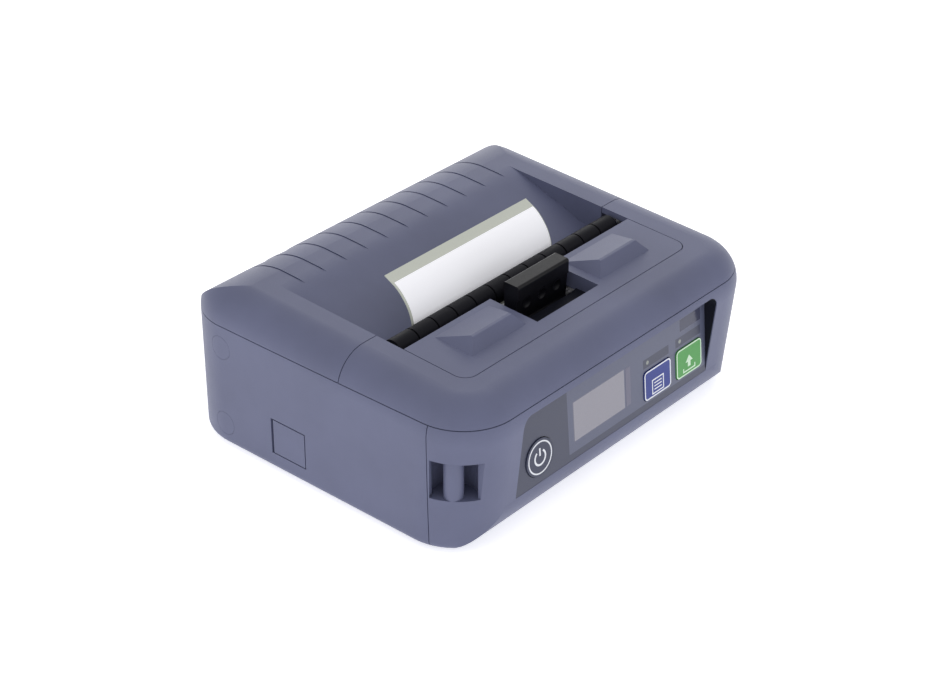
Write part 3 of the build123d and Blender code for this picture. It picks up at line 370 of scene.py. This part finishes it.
# Printed graphics on the panel: thin ink laid on the film or on a key, and a strip of painted shade beside
# the display
def panel_matrix(height):
    """Frame of the panel, raised by height along its normal."""
    v = Vector((0.0, math.sin(PANEL_LEAN), math.cos(PANEL_LEAN)))
    n = Vector((0.0, -math.cos(PANEL_LEAN), math.sin(PANEL_LEAN)))
    u = Vector((1.0, 0.0, 0.0))
    m = Matrix((u, v, n)).transposed().to_4x4()
    m.translation = PANEL_AT + n * height * MM
    return m


def place(name, bm, material, body, matrix=None):
    """Object from a closed bmesh, with its material, on its body."""
    mesh = bpy.data.meshes.new(name)
    bm.to_mesh(mesh)
    bm.free()
    if matrix is not None:
        mesh.transform(matrix)
    mesh.materials.append(material)
    obj = bpy.data.objects.new(name, mesh)
    bpy.context.scene.collection.objects.link(obj)
    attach(obj, body)
    return obj


def ink(name, outlines, height, body, material):
    """One thin shape made of closed outlines in panel millimetres: printed marks, and the strip of painted
    shade beside the display.
    """
    bm = bmesh.new()
    for outline in outlines:
        low = [bm.verts.new((x * MM, y * MM, 0.0)) for x, y in outline]
        face = bm.faces.new(low)
        raised = bmesh.ops.extrude_face_region(bm, geom=[face])
        top = [g for g in raised["geom"] if isinstance(g, bmesh.types.BMVert)]
        bmesh.ops.translate(bm, verts=top, vec=(0.0, 0.0, INK * MM))
    bmesh.ops.recalc_face_normals(bm, faces=bm.faces)
    return place(name, bm, material, body, panel_matrix(height))


def ring_band(cx, cy, r, width, start=0.0, end=360.0, steps=48):
    """Arc band as short quads."""
    quads = []
    for k in range(steps):
        a = math.radians(start + (end - start) * k / steps)
        b = math.radians(start + (end - start) * (k + 1) / steps)
        quads.append([
            (cx + r * math.cos(a), cy + r * math.sin(a)),
            (cx + (r + width) * math.cos(a), cy + (r + width) * math.sin(a)),
            (cx + (r + width) * math.cos(b), cy + (r + width) * math.sin(b)),
            (cx + r * math.cos(b), cy + r * math.sin(b)),
        ])
    return quads


def bar(x0, x1, y0, y1):
    """Rectangle as one outline."""
    return [(x0, y0), (x1, y0), (x1, y1), (x0, y1)]


def round_frame(b, r, width, steps=6):
    """Rounded rectangular outline of the given line width, as quads."""
    x0, x1, y0, y1 = b
    spots = []
    corners = ((x1 - r, y1 - r, 0), (x0 + r, y1 - r, 90), (x0 + r, y0 + r, 180), (x1 - r, y0 + r, 270))
    for cx, cy, base in corners:
        for k in range(steps + 1):
            a = math.radians(base + 90 * k / steps)
            spots.append((cx, cy, math.cos(a), math.sin(a)))
    quads = []
    for k, (cx, cy, c, s) in enumerate(spots):
        dx, dy, c2, s2 = spots[(k + 1) % len(spots)]
        quads.append([
            (cx + (r - width) * c, cy + (r - width) * s),
            (cx + r * c, cy + r * s),
            (dx + r * c2, dy + r * s2),
            (dx + (r - width) * c2, dy + (r - width) * s2),
        ])
    return quads


def inset(b, d):
    """Box made smaller by d on each side."""
    return (b[0] + d, b[1] - d, b[2] + d, b[3] - d)


def sheet_icon(cx, cy):
    """Sheet of paper with text lines."""
    parts = [bar(cx - 3.2, cx + 3.2, cy + 2.3, cy + 2.75), bar(cx - 3.2, cx + 3.2, cy - 2.75, cy - 2.3)]
    parts += [bar(cx - 3.2, cx - 2.75, cy - 2.3, cy + 2.3), bar(cx + 2.75, cx + 3.2, cy - 2.3, cy + 2.3)]
    parts += [bar(cx - 2.0, cx + 2.0, cy + 1.0 - 1.2 * k, cy + 1.4 - 1.2 * k) for k in range(3)]
    return parts


def arrow_icon(cx, cy):
    """Arrow up out of a slot."""
    head = [(cx - 2.0, cy + 0.6), (cx + 2.0, cy + 0.6), (cx, cy + 3.0)]
    parts = [head, bar(cx - 0.75, cx + 0.75, cy - 1.3, cy + 0.6)]
    parts += [bar(cx - 3.4, cx + 3.4, cy - 2.8, cy - 2.3)]
    return parts + [bar(cx - 3.4, cx - 2.9, cy - 2.3, cy - 1.2), bar(cx + 2.9, cx + 3.4, cy - 2.3, cy - 1.2)]


def power_icon(cx, cy):
    """Broken ring with a bar through the gap."""
    ring = ring_band(cx, cy, POWER_MARK_R, POWER_MARK_W, 125.0, 415.0)
    return ring + [bar(cx - POWER_MARK_W / 2, cx + POWER_MARK_W / 2, cy + 0.6, cy + 3.4)]


def key_outline(box_uv):
    """Line round a square key."""
    return round_frame(inset(box_uv, KEY_LINE_INSET), KEY_LINE_R, KEY_LINE)


ink("power_ring", ring_band(*POWER_UV, POWER_RING_R, KEY_LINE), KEY_TOP, "power_key", INK_MAT)
ink("power_mark", power_icon(*POWER_UV), KEY_TOP, "power_key", INK_MAT)
ink("print_border", key_outline(PRINT_BOX), KEY_TOP, "print_key", INK_MAT)
ink("feed_border", key_outline(FEED_BOX), KEY_TOP, "feed_key", GREEN_INK_MAT)
# Strip of painted shade beside the display, where its recess lies in shade
ink("display_side_shade", [bar(*DISPLAY_SHADE_BOX)], 0.0, "housing", DISPLAY_SHADE_MAT)
ink("print_icon", sheet_icon(*PRINT_ICON_AT), KEY_TOP, "print_key", INK_MAT)
ink("feed_icon", arrow_icon(*FEED_ICON_AT), KEY_TOP, "feed_key", GREEN_INK_MAT)


# The liner, its label and the dark pieces of painted shade
def strip_solid(name, inner, outer, material, body):
    """Thin closed solid between two grids of points in millimetres, with as many rows and columns."""
    bm = bmesh.new()
    low = [[bm.verts.new(Vector(p) * MM) for p in row] for row in inner]
    high = [[bm.verts.new(Vector(p) * MM) for p in row] for row in outer]
    rows, cols = len(low), len(low[0])
    for i in range(rows - 1):
        for j in range(cols - 1):
            bm.faces.new((low[i][j], low[i][j + 1], low[i + 1][j + 1], low[i + 1][j]))
            bm.faces.new((high[i][j], high[i + 1][j], high[i + 1][j + 1], high[i][j + 1]))
    for i in range(rows - 1):
        for j in (0, cols - 1):
            bm.faces.new((low[i][j], low[i + 1][j], high[i + 1][j], high[i][j]))
    for j in range(cols - 1):
        for i in (0, rows - 1):
            bm.faces.new((low[i][j], low[i][j + 1], high[i][j + 1], high[i][j]))
    bmesh.ops.recalc_face_normals(bm, faces=bm.faces)
    for face in bm.faces:
        face.smooth = True
    for edge in bm.edges:
        if len(edge.link_faces) == 2 and edge.calc_face_angle() > CREASE:
            edge.smooth = False
    return place(name, bm, material, body)


def smooth_run(points, steps=8):
    """Curve through the points, as many short steps."""
    out = []
    last = len(points) - 1
    for k in range(last):
        a, b = Vector(points[k]), Vector(points[k + 1])
        before = Vector(points[k - 1]) if k else a * 2 - b
        after = Vector(points[k + 2]) if k + 2 <= last else b * 2 - a
        for i in range(steps):
            t = i / steps
            bend = (2 * before - 5 * a + 4 * b - after) * t * t
            twist = (3 * a - before - 3 * b + after) * t ** 3
            out.append(0.5 * (2 * a + (b - before) * t + bend + twist))
    return out + [Vector(points[last])]


def beside(run, gap):
    """The run moved sideways by gap, to the left of its direction."""
    out = []
    for k, point in enumerate(run):
        along = (run[min(k + 1, len(run) - 1)] - run[max(k - 1, 0)]).normalized()
        out.append(Vector((point.x - along.y * gap, point.y + along.x * gap)))
    return out


def sheet(name, run, t0, t1, x0, x1, material):
    """Sheet along a run, between two offsets from it; it rides on the lid."""
    columns = 6
    xs = [x0 + (x1 - x0) * k / columns for k in range(columns + 1)]
    inner = [[(x, p.x, p.y) for x in xs] for p in beside(run, t0)]
    outer = [[(x, p.x, p.y) for x in xs] for p in beside(run, t1)]
    return strip_solid(name, inner, outer, material, "lid")


web = smooth_run(WEB_RUN)
liner = sheet("liner_sheet", web, 0.0, WEB_T, WEB_X0, WEB_X1, LINER_MAT)
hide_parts("label_web_exit")
on_label = [p for p in web if p.y > LABEL_START_Z and (web[-1] - p).length > BARE_TIP]
sheet("blank_label", on_label, WEB_T, WEB_T + LABEL_T, WEB_X0 + LABEL_LEFT, WEB_X1 - LABEL_RIGHT, PAPER_MAT)


def recess_end_shade():
    """Dark strip of painted shade on the right end wall of the panel recess, up and round its upper corner.
    """
    u_edge = PANEL_HALF - SHADE_STRIP_GAP
    outline = [(u_edge, SHADE_STRIP_FOOT + 2.4 * k) for k in range(11)]
    centre = (u_edge - CORNER_R, PANEL_TOP - CORNER_R - SHADE_STRIP_GAP)
    for k in range(9):
        a = math.radians(90.0 * k / 8)
        outline.append((centre[0] + CORNER_R * math.cos(a), centre[1] + CORNER_R * math.sin(a)))
    m = panel_matrix(0.0)
    normal = Vector((0.0, -math.cos(PANEL_LEAN), math.sin(PANEL_LEAN)))
    slope = math.cos(PANEL_LEAN) - math.sin(PANEL_LEAN) * math.tan(FRONT_LEAN)
    inner, outer = [], []
    for k, (u, v) in enumerate(outline):
        before = outline[max(k - 1, 0)]
        after = outline[min(k + 1, len(outline) - 1)]
        along = Vector((after[0] - before[0], after[1] - before[1])).normalized()
        for shift, grid in ((0.0, inner), (SHADE_STRIP_T, outer)):
            foot = m @ Vector(((u - along.y * shift) * MM, (v + along.x * shift) * MM, 0.0)) / MM
            depth = foot.y - FRONT_Y + (foot.z - SEAM_Z) * math.tan(FRONT_LEAN)
            reach = max(depth / slope - SHADE_STRIP_BACK, SHADE_STRIP_LEAST)
            grid.append([foot + normal * (SHADE_STRIP_GAP + (reach - SHADE_STRIP_GAP) * i / 3) for i in range(4)])
    strip_solid("recess_end_shade", inner, outer, SHADE_MAT, "housing")


def pocket_floor():
    """Black sheet of painted shade on the floor of the finger pocket, turned up a little at its front and
    ends.
    """
    x0, x1, y0, y1 = POCKET
    inner, outer = [], []
    for i in range(9):
        y = y0 + (y1 - y0) * i / 8
        row = []
        for k in range(13):
            x = x0 + (x1 - x0) * k / 12
            edge = min(x - x0, x1 - x, y - y0)
            row.append((x, y, POCKET_Z + POCKET_SHADE_GAP + POCKET_SHADE_LIP * max(0.0, 1.0 - edge / POCKET_SHADE_LIP_W)))
        inner.append(row)
        outer.append([(px, py, pz + POCKET_SHADE_T) for px, py, pz in row])
    strip_solid("pocket_shade", inner, outer, SHADE_MAT, "housing")


recess_end_shade()
pocket_floor()


# Floor, light and camera
def stage_floor():
    """Plain white floor under the case, bright enough to stay white."""
    corners = [(x, y, 0.0) for x, y in bar(-FLOOR_HALF, FLOOR_HALF, -FLOOR_HALF, FLOOR_HALF)]
    mesh = bpy.data.meshes.new("floor")
    mesh.from_pydata(corners, [], [(0, 1, 2, 3)])
    obj = bpy.data.objects.new("floor", mesh)
    bpy.context.scene.collection.objects.link(obj)
    n = Nodes("floor_white")
    soft = n.noise(0.01, 2.0)
    tone = n.ramp(soft, [(0.3, (0.90, 0.90, 0.91)), (0.7, (0.93, 0.93, 0.94))])
    n.link(tone, n.bsdf.inputs["Base Color"])
    n.link(tone, n.bsdf.inputs["Emission Color"])
    n.put("Emission Strength", FLOOR_GLOW)
    n.put("Roughness", 0.9)
    mesh.materials.append(n.mat)


def area_light(name, at, target, size, watts):
    """White soft panel at one point, turned to another."""
    data = bpy.data.lights.new(name, "AREA")
    data.shape = "RECTANGLE"
    data.size, data.size_y = size
    data.energy = watts
    obj = bpy.data.objects.new(name, data)
    obj.location = at
    aim = Vector(target) - Vector(at)
    obj.rotation_euler = aim.to_track_quat("-Z", "Y").to_euler()
    bpy.context.scene.collection.objects.link(obj)


def camera():
    """Camera at the photograph's place and angle."""
    data = bpy.data.cameras.new("camera")
    data.lens = LENS
    data.sensor_width = SENSOR
    data.clip_start = 0.05
    data.clip_end = 20.0
    obj = bpy.data.objects.new("camera", data)
    obj.location = CAMERA_AT
    forward = Vector((
        math.sin(CAMERA_YAW) * math.cos(CAMERA_PITCH),
        math.cos(CAMERA_YAW) * math.cos(CAMERA_PITCH),
        -math.sin(CAMERA_PITCH),
    ))
    obj.rotation_euler = forward.to_track_quat("-Z", "Y").to_euler()
    bpy.context.scene.collection.objects.link(obj)
    bpy.context.scene.camera = obj


stage_floor()
camera()
area_light("sky_panel", (0.1, 0.25, 1.1), (0, 0, 0.03), (1.3, 1.3), 0.7)
area_light("back_strip", (0.75, 0.65, 0.55), (0, 0, 0.04), (0.9, 0.5), 1.5)
area_light("rim_strip", (0.95, 0.85, 0.2), (0, 0, 0.04), (1.6, 0.26), 2.2)
area_light("left_panel", (-0.95, 0.15, 0.45), (0, 0, 0.03), (0.8, 0.6), 0.6)
area_light("front_panel", (0.35, -1.0, 0.5), (0, 0, 0.03), (0.9, 0.6), 0.25)

world = bpy.data.worlds.new("studio")
world.use_nodes = True
world.node_tree.nodes["Background"].inputs["Color"].default_value = (1.0, 1.0, 1.0, 1.0)
world.node_tree.nodes["Background"].inputs["Strength"].default_value = WORLD_LIGHT
bpy.context.scene.world = world
bpy.context.scene.view_settings.view_transform = "Standard"
